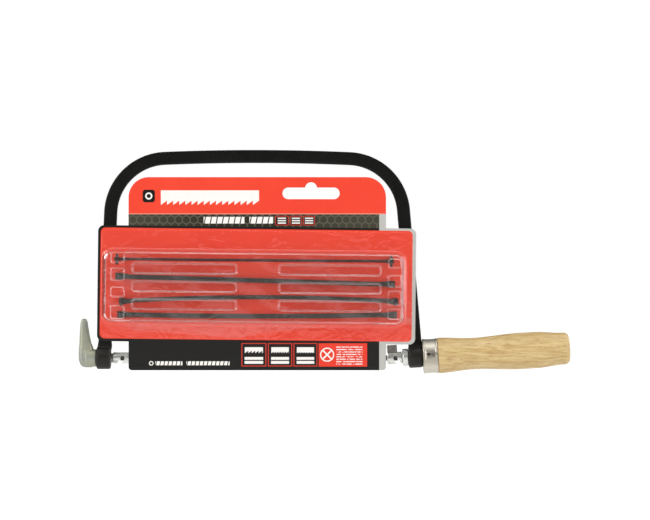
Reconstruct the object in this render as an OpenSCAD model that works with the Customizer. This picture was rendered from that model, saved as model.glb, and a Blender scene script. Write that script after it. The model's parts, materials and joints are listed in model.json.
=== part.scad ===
// Coping saw on its display card. X runs along the blade towards the handle, Z up to the
// top of the bow, and the card faces -Y. The origin is midway between the two blade pins.

/* [Blade] */
// Distance between the centres of the blade's two pins
pin_span = 165; // [160:1:170]
// Depth of the blade from back to tooth tips
blade_depth = 3.2; // [2.4:0.1:3.4]
// Thickness of the blade
blade_thickness = 0.5; // [0.3:0.1:0.6]
// Teeth along the fitted blade
tooth_count = 108; // [60:1:120]

/* [Bow] */
// Height of the bow's crown above the blade
bow_height = 126.1; // [122:0.1:130]
// Width of the bar, seen from the front
bar_width = 7.9; // [7:0.1:8.5]
// Thickness of the bar, front to back
bar_thickness = 4; // [3:0.5:4]
// Radius of the two top corners, along the middle of the bar
corner_radius = 34.2; // [31:0.1:36]
// Outward lean of the front arm
front_splay = 2.5; // [2:0.1:3]
// Outward lean of the rear arm
rear_splay = 5; // [4.5:0.1:5.2]

/* [Handle] */
// Rise of the handle's axis towards the butt
handle_tilt = 3.2; // [2.8:0.1:3.4]
// Radius of the handle at its fullest
handle_radius = 11.2; // [10.5:0.1:11.6]
// Advance of the rear spigot for each turn of the handle
thread_pitch = 1; // [0.8:0.1:1]

/* [Card] */
// Thickness of the printed board
card_thickness = 0.6; // [0.4:0.1:0.8]
// Depth of the clear cover in front of the board
blister_depth = 7.6; // [7.4:0.1:8.5]
// Width of the hang slot
hang_slot_width = 34.5; // [30:0.5:36]

/* [Hidden] */
$fn = 64;

half_span = pin_span / 2;
gap = 0.1;                  // between parts that turn against each other
run_gap = 0.06;             // radial clearance of a shaft in its bore

// Bow
crown_x = -3;
crown_radius = 1300;
front_corner_turn = 2.39;   // how far the crown's arc runs before each corner, in degrees
rear_corner_turn = 2.56;
crown_mid_z = bow_height - bar_width / 2;

// Bushes and their bores
bush_length = 8.6;
bush_bevel = 0.9;
front_bush_x = -94.2;
front_bush_radius = 6.8;
rear_bush_start = 8.1;      // along the rear axis, from the rear pin
rear_bush_radius = 6.6;

// Spigots
pin_radius = 0.9;
pin_length = 6.6;
blade_tail = 1.6;           // blade beyond the centre of each pin
kerf_width = 1.6;           // wide enough for the blade while the rear holder tilts
seat_radius = 1.2;
notch_angle = 54;           // the notches run outwards and down from the pins
notch_length = 9;
front_head_radius = 3.4;
front_shaft_radius = 2.75;
rear_head_radius = 3.65;
rear_shank_radius = 2.9;
flat_half_width = 2.25;     // two flats on the rear shank, which the collar slides along
collar_radius = 5.2;
thread_radius = 2.85;
thread_depth = 0.45;
thread_start = 20;
thread_end = 42;

// Lever
hub_radius = 5.2;
lever_thickness = 6.4;

// Handle, along the rear axis from the rear pin
ferrule_start = rear_bush_start + bush_length + gap;
ferrule_end = 25.8;
ferrule_radius = 10.6;
ferrule_wall = 0.7;
wood_start = 26;
wood_end = 105.8;
tenon_radius = 9.8;
nut_radius = 4.6;
nut_end = 41;

// Card. It stands off the bow so that the holders can turn behind it.
pad_thickness = 6.3;
card_back_y = -bar_thickness / 2 - pad_thickness;
card_front_y = card_back_y - card_thickness;
tongue = [-78.5, 76.8, -7.1, 109.4];      // left, right, bottom, top
panel = [-97.2, 94.7, 9.4, 79.4];
tray = [-93, 87.6, 21, 64.2];
flange = [-95, 92.5, 11.6, 77];
panel_turn = 0.65;          // the panel and its cover hang a little lower by the handle
shell_wall = 0.4;
hang_slot_x = 31.6;
hang_slot_z = 99.6;

// Spare blades: height at the left end, middle and right end, and roll about the blade
spares = [
    [60.7, 59.0, 57.8, 62],
    [49.7, 47.3, 44.8, 4],
    [34.5, 37.4, 34.3, 34],
    [26.6, 25.4, 26.4, 6]
];
spare_y = card_front_y - pin_length / 2 - 0.4;
spare_shift = [-2.6, -2, 0.1, -0.8];

// Lower left corners of the foam pads, and their size
pads = [[-95.5, 18], [-93.5, 62], [89.2, 18], [86.9, 62]];
pad_size = [4.2, 12];

// A run of points on an arc, for outlines
function arc(x, z, r, from, to, steps = 8) =
    [for (i = [0:steps]) let (a = from + (to - from) * i / steps) [x + r * cos(a), z + r * sin(a)]];

// Turns a profile of [distance along the axis, radius] about X
module turned(profile) {
    rotate([0, 90, 0])
        rotate_extrude()
            polygon([for (p = profile) [p[1], p[0]]]);
}

// A solid cylinder along X between two places
module rod(from, to, r) {
    translate([from, 0, 0]) rotate([0, 90, 0]) cylinder(r = r, h = to - from);
}

// Raises an outline drawn in X and Z to a plate between two values of Y
module plate(y_low, y_high) {
    translate([0, y_high, 0]) rotate([90, 0, 0]) linear_extrude(y_high - y_low) children();
}

// A rectangle [left, right, bottom, top] with round corners
module round_rect(box, r) {
    translate([box[0] + r, box[2]]) square([box[1] - box[0] - 2 * r, box[3] - box[2]]);
    translate([box[0], box[2] + r]) square([box[1] - box[0], box[3] - box[2] - 2 * r]);
    for (x = [box[0] + r, box[1] - r])
        for (z = [box[2] + r, box[3] - r])
            translate([x, z]) circle(r = r);
}

function grown(box, by) = [box[0] - by, box[1] + by, box[2] - by, box[3] + by];

// Puts a part made on the X axis, with the rear pin at 0, on the rear axis
module on_rear_axis() {
    translate([half_span, 0, 0]) rotate([0, -handle_tilt, 0]) children();
}

// A bored round with bevelled ends
module bush(from, r, bore) {
    to = from + bush_length;
    turned([
        [from, bore], [from, r - bush_bevel], [from + bush_bevel, r],
        [to - bush_bevel, r], [to, r - bush_bevel], [to, bore]
    ]);
}

// --- Bow ---------------------------------------------------------------------------------

// The sector of a ring between two angles from the vertical, clockwise positive
module ring_sector(x, z, r, from, to) {
    reach = r * 1.6;
    intersection() {
        translate([x, z]) difference() {
            circle(r = r + bar_width / 2, $fn = 128);
            circle(r = r - bar_width / 2, $fn = 128);
        }
        polygon([
            [x, z],
            [x + reach * sin(from), z + reach * cos(from)],
            [x + reach * sin((from + to) / 2), z + reach * cos((from + to) / 2)],
            [x + reach * sin(to), z + reach * cos(to)]
        ]);
    }
}

// One corner and its arm. side is 1 at the rear and -1 at the front.
module bow_side(side, turn, splay) {
    x = crown_x + side * (crown_radius - corner_radius) * sin(turn);
    z = crown_mid_z - crown_radius + (crown_radius - corner_radius) * cos(turn);
    ring_sector(x, z, corner_radius, side * turn, side * (90 - splay));
    translate([x, z]) rotate(side * splay)
        translate([side * corner_radius - bar_width / 2, -100]) square([bar_width, 100]);
}

module bow_frame() {
    color("#1b1b1c") difference() {
        plate(-bar_thickness / 2, bar_thickness / 2) {
            ring_sector(crown_x, crown_mid_z - crown_radius, crown_radius,
                -front_corner_turn, rear_corner_turn);
            bow_side(-1, front_corner_turn, front_splay);
            bow_side(1, rear_corner_turn, rear_splay);
        }
        // the arms end on their bushes
        rod(-110, -80, front_bush_radius);
        on_rear_axis() rod(-5, 30, rear_bush_radius);
        // and nothing of them hangs below the blade
        translate([-120, -10, -40]) cube([300, 20, 40]);
    }
}

module front_bush() {
    color("#202021")
        bush(front_bush_x - bush_length / 2, front_bush_radius, front_shaft_radius + run_gap);
}

module rear_bush() {
    color("#202021") on_rear_axis()
        bush(rear_bush_start, rear_bush_radius, rear_shank_radius + run_gap);
}

// --- Blade holders -----------------------------------------------------------------------

// The slot that a blade pin drops into, from its seat at the origin. side as for the bow.
module notch(side) {
    rotate([90, 0, 0]) {
        translate([0, 0, -10]) cylinder(r = seat_radius, h = 20);
        rotate(side > 0 ? -notch_angle : notch_angle - 180)
            translate([0, -seat_radius, -10]) cube([notch_length, 2 * seat_radius, 20]);
    }
}

module front_spigot() {
    shoulder = -88.6;
    bush_face = front_bush_x - bush_length / 2 - gap;
    nose = -76.6;
    color("#b9bab8") difference() {
        turned([
            [-103.2, 0], [-103.2, 2.2], [bush_face, 2.2], [bush_face, front_shaft_radius],
            [shoulder, front_shaft_radius], [shoulder, front_head_radius - 0.4],
            [shoulder + 0.4, front_head_radius], [nose - 0.6, front_head_radius],
            [nose, front_head_radius - 0.6], [nose, 0]
        ]);
        translate([-86.4, -kerf_width / 2, -10]) cube([20, kerf_width, 20]);
        translate([-half_span, 0, 0]) notch(-1);
    }
}

// Outline of the finger: a narrow round tip over a round heel
function finger_outline() = concat(
    arc(-106, 22, 1.9, 155, 20),
    [[-101.7, 8.2], [-100.9, 5.4], [-100.9, -hub_radius]],
    arc(-104.4, -0.8, 5, 262, 185)
);

module front_lever() {
    bush_face = front_bush_x - bush_length / 2;
    color("#9a9b8c") difference() {
        union() {
            plate(-lever_thickness / 2, lever_thickness / 2) polygon(finger_outline());
            rod(-105, bush_face - gap, hub_radius);
        }
        rod(-103.3, -95, 2.22);
    }
}

module rear_collar() {
    start = 4.4;
    color("#c2c4c2") on_rear_axis() difference() {
        turned([
            [start, 0], [start, collar_radius - 0.6], [start + 0.6, collar_radius],
            [rear_bush_start - gap - 0.6, collar_radius],
            [rear_bush_start - gap, collar_radius - 0.6], [rear_bush_start - gap, 0]
        ]);
        intersection() {
            rod(0, 20, rear_shank_radius + run_gap);
            translate([0, -flat_half_width - run_gap, -10])
                cube([20, 2 * (flat_half_width + run_gap), 20]);
        }
    }
}

// The threaded tail: rings of the thread's form, one for each pitch
function thread_profile() = [
    for (s = [thread_start:thread_pitch:thread_end - thread_pitch / 2])
        each [
            [s, thread_radius - thread_depth],
            [s + thread_pitch * 0.4, thread_radius],
            [s + thread_pitch * 0.6, thread_radius]
        ]
];

module rear_spigot() {
    nose = -4.9;
    shoulder = 4.3;
    flats_end = 13;
    kerf_end = 5.3;
    color("#b4b5b2") on_rear_axis() difference() {
        turned(concat(
            [
                [nose, 0], [nose, rear_head_radius - 0.6], [nose + 0.6, rear_head_radius],
                [shoulder - 0.4, rear_head_radius], [shoulder, rear_head_radius - 0.4],
                [shoulder, rear_shank_radius], [thread_start - 1, rear_shank_radius]
            ],
            thread_profile(),
            [[thread_end, thread_radius - thread_depth], [thread_end, 0]]
        ));
        for (side = [-1, 1])
            translate([shoulder, side * (flat_half_width + 5) - 5, -10])
                cube([flats_end - shoulder, 10, 20]);
        translate([-10, -kerf_width / 2, -10]) cube([10 + kerf_end, kerf_width, 20]);
        rotate([0, handle_tilt, 0]) notch(1);
    }
}

module rear_tab() {
    color("#5c5b5a") on_rear_axis()
        translate([-4.5, -kerf_width / 2, 2.1]) cube([6, kerf_width, 5.8]);
}

// --- Fitted blade ------------------------------------------------------------------------

// Half the thickness of metal above and below the pins
half_depth = blade_depth / 2;
tooth_height = 0.6;

module blade() {
    toothed = pin_span - 12;
    step = toothed / tooth_count;
    color("#3c3d40") plate(-blade_thickness / 2, blade_thickness / 2)
        difference() {
            polygon(concat(
                [
                    [half_span + blade_tail, half_depth],
                    [-half_span - blade_tail, half_depth],
                    [-half_span - blade_tail, -half_depth],
                    [-toothed / 2, -half_depth]
                ],
                [
                    for (i = [0:tooth_count - 1])
                        each [
                            [-toothed / 2 + i * step, -half_depth + tooth_height],
                            [-toothed / 2 + (i + 1) * step, -half_depth]
                        ]
                ],
                [[half_span + blade_tail, -half_depth]]
            ));
            for (side = [-1, 1]) translate([side * half_span, 0]) circle(r = pin_radius);
        }
}

module blade_pin(side) {
    color("#8e9094") translate([side * half_span, pin_length / 2, 0]) rotate([90, 0, 0])
        cylinder(r = pin_radius, h = pin_length);
}

module blade_front_pin() { blade_pin(-1); }

module blade_rear_pin() { blade_pin(1); }

// --- Handle ------------------------------------------------------------------------------

module handle_nut() {
    color("#b08d4a") on_rear_axis() difference() {
        rod(wood_start + 0.5, nut_end, nut_radius);
        rod(wood_start - 1, nut_end + 1, thread_radius + 0.1);
    }
}

module ferrule() {
    lip = 0.8;
    waist = ferrule_radius - 0.3;
    inner = tenon_radius + 0.02;
    color("#c9c8c3") on_rear_axis() turned([
        [ferrule_start, 3.3], [ferrule_start, ferrule_radius - 0.5],
        [ferrule_start + 0.5, ferrule_radius], [ferrule_start + lip + 0.5, waist],
        [ferrule_end - lip - 0.3, waist], [ferrule_end - 0.3, ferrule_radius],
        [ferrule_end, ferrule_radius], [ferrule_end, inner],
        [ferrule_start + ferrule_wall, inner], [ferrule_start + ferrule_wall, 3.3]
    ]);
}

// A smooth run of radii through a list of [place, radius], with level tangents at each
function eased(stations, steps = 8) = [
    for (k = [0:len(stations) - 2])
        for (i = [0:steps - 1])
            let (a = stations[k], b = stations[k + 1], t = i / steps, w = (1 - cos(180 * t)) / 2)
            [a[0] + (b[0] - a[0]) * t, a[1] + (b[1] - a[1]) * w]
];

module wood_handle() {
    tenon_start = ferrule_start + ferrule_wall + gap;
    butt_round = 3.2;
    butt_radius = 9.8;
    color("#dcbc7c") on_rear_axis() difference() {
        turned(concat(
            [[tenon_start, 0], [tenon_start, tenon_radius], [wood_start, tenon_radius]],
            eased([
                [wood_start, handle_radius - 0.3], [47, handle_radius - 1.55],
                [77, handle_radius], [85, handle_radius], [wood_end - butt_round, butt_radius]
            ]),
            arc(wood_end - butt_round, butt_radius - butt_round, butt_round, 90, 0),
            [[wood_end, 0]]
        ));
        rod(0, nut_end, nut_radius);
        rod(0, nut_end + 4, thread_radius + 0.3);
    }
}

// --- Display pack ------------------------------------------------------------------------

module hang_slot() {
    r = 3.5;
    end = hang_slot_width / 2 - r;
    translate([hang_slot_x - end, hang_slot_z - r]) square([2 * end, 2 * r]);
    for (side = [-1, 1]) translate([hang_slot_x + side * end, hang_slot_z]) circle(r = r);
    translate([hang_slot_x, hang_slot_z + 3.1]) circle(r = 3.6);
}

// Turns an outline about the middle of the panel
module on_panel() {
    middle = [(panel[0] + panel[1]) / 2, (panel[2] + panel[3]) / 2];
    translate(middle) rotate(-panel_turn) translate(-middle) children();
}

module backing_card() {
    shoulder = [tongue[0], tongue[1], 60, tongue[3]];
    foot = [tongue[0], tongue[1], tongue[2], 40];
    color("#e23a2a") plate(card_front_y, card_back_y) difference() {
        union() {
            round_rect(shoulder, 12.2);
            round_rect(foot, 2);
            on_panel() round_rect(panel, 3.6);
        }
        hang_slot();
    }
}

// Shallow bars pressed into the front of the cover, three rows on each side
rib_rows = [53.7, 42.8, 32.1];
rib_depth = 1.3;
rib_round = 2;

module ribs(grow, y_low, y_high) {
    for (row = rib_rows)
        for (span = [[-75.3, -13.9], [12.9, 72.8]])
            plate(y_low, y_high) on_panel()
                round_rect(grown(concat(span, [row - 2.8, row + 2.8]), grow), rib_round + grow);
}

module blister_shell() {
    tray_round = 6;
    front_y = card_front_y - blister_depth;
    color("#d9e4e6", 0.4) difference() {
        union() {
            plate(card_front_y - shell_wall, card_front_y) on_panel() round_rect(flange, 4);
            plate(front_y, card_front_y) on_panel() round_rect(tray, tray_round);
        }
        difference() {
            plate(front_y + shell_wall, card_front_y + 1) on_panel()
                round_rect(grown(tray, -shell_wall), tray_round - shell_wall);
            ribs(0, front_y - 1, front_y + rib_depth + shell_wall);
        }
        ribs(-shell_wall, front_y - 1, front_y + rib_depth);
    }
}

module mounting_pads() {
    color("#e8e6df") plate(card_back_y, -bar_thickness / 2)
        for (corner = pads) translate(corner) square(pad_size);
}

// The height of a spare blade's middle at x, a parabola through its three heights
function spare_z(k, x) =
    let (s = spares[k], t = (x - spare_shift[k]) / half_span)
    s[1] + (s[2] - s[0]) / 2 * t + ((s[0] + s[2]) / 2 - s[1]) * t * t;

// Rolls a spare about the line between the middles of its two ends, and puts it in its place
module rolled(k) {
    s = spares[k];
    middle = (s[0] + s[2]) / 2;
    translate([0, spare_y, middle]) rotate([s[3], 0, 0]) translate([0, 0, -middle]) children();
}

module spare_blade(k) {
    steps = 24;
    reach = half_span + blade_tail;
    xs = [for (i = [0:steps]) spare_shift[k] - reach + 2 * reach * i / steps];
    color("#3a3d3c") rolled(k)
        plate(-blade_thickness / 2, blade_thickness / 2) difference() {
            polygon(concat(
                [for (x = xs) [x, spare_z(k, x) + half_depth]],
                [for (i = [steps:-1:0]) [xs[i], spare_z(k, xs[i]) - half_depth]]
            ));
            for (side = [-1, 1]) {
                x = spare_shift[k] + side * half_span;
                translate([x, spare_z(k, x)]) circle(r = pin_radius);
            }
        }
}

module spare_pins(k) {
    color("#7d8082") rolled(k)
        for (side = [-1, 1]) {
            x = spare_shift[k] + side * half_span;
            translate([x, pin_length / 2, spare_z(k, x)]) rotate([90, 0, 0])
                cylinder(r = pin_radius, h = pin_length);
        }
}

bow_frame();
front_bush();
rear_bush();
front_spigot();
front_lever();
blade();
blade_front_pin();
blade_rear_pin();
rear_collar();
rear_spigot();
rear_tab();
handle_nut();
ferrule();
wood_handle();
backing_card();
blister_shell();
mounting_pads();
spare_blade(0);  // spare_blade_1
spare_blade(1);  // spare_blade_2
spare_blade(2);  // spare_blade_3
spare_blade(3);  // spare_blade_4
spare_pins(0);  // spare_pins_1
spare_pins(1);  // spare_pins_2
spare_pins(2);  // spare_pins_3
spare_pins(3);  // spare_pins_4
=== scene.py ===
"""A coping saw on its display card, hanging by its bow over a pale studio floor.

Lengths are in metres in the frame's own axes: X along the blade towards the handle, Z up,
and the front of the card towards -Y. MM turns a length in millimetres into metres.
"""

import json
import math

import bmesh
import bpy
import numpy as np
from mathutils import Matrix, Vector


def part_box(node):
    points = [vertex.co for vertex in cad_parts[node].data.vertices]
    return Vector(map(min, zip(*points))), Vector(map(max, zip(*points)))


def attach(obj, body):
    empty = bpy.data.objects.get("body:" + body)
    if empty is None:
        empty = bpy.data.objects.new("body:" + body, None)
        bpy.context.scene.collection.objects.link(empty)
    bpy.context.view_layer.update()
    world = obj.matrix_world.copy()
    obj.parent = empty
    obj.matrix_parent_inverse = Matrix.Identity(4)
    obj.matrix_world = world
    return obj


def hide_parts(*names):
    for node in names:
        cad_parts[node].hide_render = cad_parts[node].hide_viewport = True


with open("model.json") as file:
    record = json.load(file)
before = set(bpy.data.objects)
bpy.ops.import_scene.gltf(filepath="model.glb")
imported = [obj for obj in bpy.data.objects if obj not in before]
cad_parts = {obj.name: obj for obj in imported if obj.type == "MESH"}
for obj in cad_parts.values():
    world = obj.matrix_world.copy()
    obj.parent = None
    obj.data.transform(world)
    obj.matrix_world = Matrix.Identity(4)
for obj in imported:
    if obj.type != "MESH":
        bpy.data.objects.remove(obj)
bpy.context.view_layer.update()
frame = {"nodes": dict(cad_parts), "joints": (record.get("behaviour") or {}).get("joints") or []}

MM = 0.001
JOINTS = {joint["name"]: joint for joint in frame["joints"]}


# --- Places taken from the frame ----------------------------------------------------------

class Axis:
    """A line through the saw: a point is start + s along it + a towards the viewer + b up."""

    def __init__(self, start, along):
        self.start = np.array(start, float)
        self.along = np.array(along, float) / np.linalg.norm(along)
        self.front = np.array((0.0, -1.0, 0.0))
        self.up = np.cross(self.front, self.along)

    def place(self, s, a, b):
        s, a, b = (part[..., None] for part in np.broadcast_arrays(s, a, b))
        return self.start + s * self.along + a * self.front + b * self.up


BLADE_AXIS = Axis((0, 0, 0), (1, 0, 0))
REAR_AXIS = Axis(JOINTS["handle_turn"]["pos_m"], JOINTS["handle_turn"]["axis"])
REAR_TILT = math.asin(REAR_AXIS.along[2])
HALF_SPAN = REAR_AXIS.start[0]
CARD_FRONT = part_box("backing_card")[0][1]


# --- Shapes ------------------------------------------------------------------------------

def ease(t):
    """A rise from 0 to 1 that starts and ends level: 3 t squared - 2 t cubed."""
    t = np.clip(t, 0, 1)
    return t * t * (3 - 2 * t)


def bell(t):
    """A hump of height 1 round 0: e to the minus t squared."""
    return np.exp(-t * t)


def rounded(corners, closed=False, steps=5):
    """A line through corners of (s, r, reach). Each corner becomes a parabola that leaves the
    lines that far before and after it, so its middle is half way in towards the chord."""
    corners = np.array(corners, float)
    points, reaches = corners[:, :2], corners[:, 2]
    t = np.linspace(0, 1, steps)[:, None]
    line = []
    for i, (point, reach) in enumerate(zip(points, reaches)):
        end = not closed and i in (0, len(points) - 1)
        if reach == 0 or end:
            line.append(point[None])
            continue
        before, after = points[i - 1], points[(i + 1) % len(points)]
        start = point + (before - point) / np.linalg.norm(before - point) * reach
        stop = point + (after - point) / np.linalg.norm(after - point) * reach
        line.append((1 - t) ** 2 * start + 2 * t * (1 - t) * point + t * t * stop)
    return np.concatenate(line)


def superellipse(width, height, power, count):
    """Points with |a / half width| ** power + |b / half height| ** power = 1, going round."""
    angle = np.linspace(0, 2 * np.pi, count, endpoint=False)
    c, s = np.cos(angle), np.sin(angle)
    return (np.sign(c) * np.abs(c) ** (2 / power) * width / 2,
            np.sign(s) * np.abs(s) ** (2 / power) * height / 2)


def grid_faces(rows, columns, wrap_rows=False, wrap_columns=False):
    """Four-sided faces of a grid of points, with its last row or column joined to the first."""
    r, c = np.meshgrid(np.arange(rows - (not wrap_rows)), np.arange(columns - (not wrap_columns)),
                       indexing="ij")
    r_next, c_next = (r + 1) % rows, (c + 1) % columns
    corners = (r * columns + c, r_next * columns + c, r_next * columns + c_next, r * columns + c_next)
    return np.stack(corners, -1).reshape(-1, 4)


def piece(name, points, faces, finish, body, replaces=(), slot=None, crease=40):
    """A mesh object that rides on a body and stands for CAD nodes. Points that coincide are
    merged, which closes seams and poles, and the faces are turned outwards."""
    mesh = bpy.data.meshes.new(name)
    mesh.from_pydata(points.reshape(-1, 3).tolist(), [], faces.tolist())
    build = bmesh.new()
    build.from_mesh(mesh)
    bmesh.ops.remove_doubles(build, verts=build.verts, dist=1e-6)
    bmesh.ops.recalc_face_normals(build, faces=build.faces)
    build.to_mesh(mesh)
    build.free()
    mesh.shade_smooth()
    mesh.set_sharp_from_angle(angle=math.radians(crease))
    mesh.materials.append(finish)
    made = bpy.data.objects.new(name, mesh)
    bpy.context.scene.collection.objects.link(made)
    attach(made, body)
    if replaces:
        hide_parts(*replaces)
    return made


def turned(name, axis, profile, finish, body, closed=False, around=96, swell=None, **more):
    """A profile of (s, r) spun round an axis: r cos(angle) towards the front and r sin(angle)
    up. swell(s, angle, r) may change the radius. A closed profile makes a ring."""
    angle = np.linspace(0, 2 * np.pi, around, endpoint=False)[None, :]
    s, r = profile[:, :1], np.maximum(profile[:, 1:], 0)
    if swell:
        r = np.where(r > 0, swell(s, angle, r), 0)
    points = axis.place(s + 0 * angle, r * np.cos(angle), r * np.sin(angle))
    faces = grid_faces(len(profile), around, wrap_rows=closed, wrap_columns=True)
    piece(name, points, faces, finish, body, **more)


def capped(rows):
    """Rings of points with each end drawn to the middle of its ring, which closes it."""
    first = np.broadcast_to(rows[0].mean(0), rows[0].shape)[None]
    last = np.broadcast_to(rows[-1].mean(0), rows[-1].shape)[None]
    return np.concatenate([first, rows, last])


def modify(made, kind, **settings):
    modifier = made.modifiers.new(kind.title(), kind)
    for key, value in settings.items():
        setattr(modifier, key, value)


def apply_modifiers(made):
    """Makes the modified mesh the object's own."""
    graph = bpy.context.evaluated_depsgraph_get()
    mesh = bpy.data.meshes.new_from_object(made.evaluated_get(graph), depsgraph=graph)
    made.modifiers.clear()
    made.data = mesh


# --- Materials ---------------------------------------------------------------------------

def tint(red, green, blue):
    """A screen colour, 0 to 255 a channel, as the linear colour that a shader takes."""
    channels = np.array((red, green, blue)) / 255
    linear = np.where(channels <= 0.04045, channels / 12.92, ((channels + 0.055) / 1.055) ** 2.4)
    return (*linear.tolist(), 1.0)


def grey(level):
    """A neutral colour from a linear level."""
    return (level, level, level, 1)


class Field:
    """A value that varies over a surface. Sums and products of it add Math nodes."""

    def __init__(self, nodes, socket):
        self.nodes, self.socket = nodes, socket

    def math(self, operation, *others):
        return self.nodes.math(operation, self, *others)

    def __add__(self, other):
        return self.math("ADD", other)

    __radd__ = __add__

    def __sub__(self, other):
        return self.math("SUBTRACT", other)

    def __rsub__(self, other):
        return self.nodes.math("SUBTRACT", other, self)

    def __mul__(self, other):
        return self.math("MULTIPLY", other)

    __rmul__ = __mul__

    def __truediv__(self, other):
        return self.math("DIVIDE", other)

    def __abs__(self):
        return self.math("ABSOLUTE")

    def most(self, other):
        return self.math("MAXIMUM", other)

    def least(self, other):
        return self.math("MINIMUM", other)

    def held(self):
        """Kept between 0 and 1."""
        return self.most(0).least(1)

    def between(self, low, high):
        """A smooth rise from 0 at low to 1 at high, or a fall where low is the greater."""
        return self.nodes.add("ShaderNodeMapRange", {"interpolation_type": "SMOOTHSTEP"},
                              {"Value": self, "From Min": low, "From Max": high})


class Nodes:
    """A node tree under construction."""

    def __init__(self, tree):
        self.tree = tree

    def add(self, kind, settings=None, inputs=None, output=0):
        node = self.tree.nodes.new(kind)
        for key, value in (settings or {}).items():
            setattr(node, key, value)
        for key, value in (inputs or {}).items():
            if isinstance(value, Field):
                self.tree.links.new(value.socket, node.inputs[key])
            else:
                node.inputs[key].default_value = value
        return Field(self, node.outputs[output])

    def math(self, operation, *values):
        return self.add("ShaderNodeMath", {"operation": operation}, dict(enumerate(values)))

    def mix(self, amount, first, second):
        return self.add("ShaderNodeMix", {"data_type": "RGBA"}, {0: amount, 6: first, 7: second},
                        output=2)


class Finish(Nodes):
    """A material under construction. Its settings that don't vary go on the shader itself."""

    def __init__(self, name, **constants):
        self.material = bpy.data.materials.new(name)
        self.material.use_nodes = True
        super().__init__(self.material.node_tree)
        self.shader = self.tree.nodes["Principled BSDF"]
        for socket, value in constants.items():
            self.shader.inputs[socket.replace("_", " ")].default_value = value
        self.place = self.add("ShaderNodeTexCoord", output="Object")

    def axes(self):
        """x, y and z in millimetres."""
        return [self.add("ShaderNodeSeparateXYZ", {}, {"Vector": self.place}, output=k) / MM
                for k in range(3)]

    def stretched(self, scale=(1, 1, 1), turn=(0, 0, 0), move=(0, 0, 0)):
        return self.add("ShaderNodeMapping", {},
                        {"Vector": self.place, "Scale": scale, "Rotation": turn, "Location": move})

    def noise(self, size, place=None, detail=3.0, rough=0.5, bend=0.0):
        """Cloudy variation between 0 and 1, with features of about this size in millimetres."""
        inputs = {"Vector": place or self.place, "Scale": 1 / (size * MM), "Detail": detail,
                  "Roughness": rough, "Distortion": bend}
        return self.add("ShaderNodeTexNoise", {}, inputs, output="Fac")

    def rectangle(self, x, z, box, radius=0.0, soft=0.12):
        """1 inside a rectangle (left, right, bottom, top) with round corners, from its signed
        distance: the length of the part outside the straight core, less the corner radius."""
        left, right, bottom, top = box
        across = abs(x - (left + right) / 2) - ((right - left) / 2 - radius)
        upward = abs(z - (bottom + top) / 2) - ((top - bottom) / 2 - radius)
        reach = across.most(upward)
        if radius:
            out_x, out_z = across.most(0), upward.most(0)
            outside = (squared(out_x) + squared(out_z)).math("SQRT")
            reach = outside + reach.least(0) - radius
        return (0.5 - reach / soft).held()

    def bump(self, height, strength=0.3, depth=0.1):
        """Presses a height into the surface; depth in millimetres is what a height of 1 is."""
        inputs = {"Height": height, "Strength": strength, "Distance": depth * MM}
        self.drive(Normal=self.add("ShaderNodeBump", {}, inputs))

    def drive(self, **sockets):
        for name, value in sockets.items():
            self.tree.links.new(value.socket, self.shader.inputs[name.replace("_", " ")])


def squared(value):
    return value * value


def black_paint():
    """Stoved black paint over bar steel: slight orange peel, dust in the film, a few chips, and painted
    light that makes it lighter towards the bottom.
    """
    f = Finish("black_paint", Coat_Weight=0.14, Coat_Roughness=0.25, Specular_IOR_Level=0.15)
    cloud = f.noise(9, detail=4)
    peel = f.noise(0.9, detail=2)
    speck = f.noise(0.35, detail=1).between(0.70, 0.76)
    chip = f.noise(2.2, detail=6, rough=0.7).between(0.735, 0.75)
    colour = f.mix(cloud, tint(5, 5, 4), tint(13, 12, 10))
    height = f.axes()[2]
    # painted light: below 4 mm up, on the bushes and the arms' feet, the black is mixed half way to a
    # mid grey
    colour = f.mix(height.between(11, 4) * 0.5, colour, tint(46, 44, 40))
    colour = f.mix(speck * 0.5, colour, tint(74, 72, 66))
    colour = f.mix(chip, colour, tint(112, 108, 100))
    f.drive(Base_Color=colour, Roughness=0.36 + 0.16 * cloud + 0.1 * speck, Metallic=chip * 0.8)
    f.bump(peel * 0.5 + cloud * 0.3 - chip * 0.8, 0.22, 0.12)
    return f.material


def bright_zinc():
    """Bright zinc plating on turned steel: spangle, fine tool rings, grey handling marks, and painted
    shade close to the axis.
    """
    f = Finish("bright_zinc", Metallic=1.0)
    rings = f.noise(0.16, f.stretched((1, 0.02, 0.02)), detail=1)
    spangle = f.noise(1.6, detail=5, rough=0.65)
    grime = f.noise(3.5, detail=4, rough=0.6).between(0.5, 0.72)
    colour = f.mix(spangle, tint(200, 201, 196), tint(240, 241, 236))
    colour = f.mix(grime * 0.5, colour, tint(112, 110, 100))
    # painted shade: within 1.8 to 2.7 mm of the holder's axis, which climbs with the rear axis past the
    # half span, the zinc goes almost black, standing in for the shade in the blade slot, the notch and
    # the bores
    x, y, z = f.axes()
    rise = REAR_AXIS.along[2] / REAR_AXIS.along[0]
    centre = (x - HALF_SPAN / MM) * rise * x.between(-1, 1)
    radius = (squared(y) + squared(z - centre)).math("SQRT")
    colour = f.mix(radius.between(2.7, 1.8) * 0.9, colour, tint(34, 31, 27))
    f.drive(Base_Color=colour, Roughness=0.24 + 0.22 * spangle + 0.2 * grime)
    f.bump(rings * 0.6 + spangle * 0.5, 0.25, 0.06)
    return f.material


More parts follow.
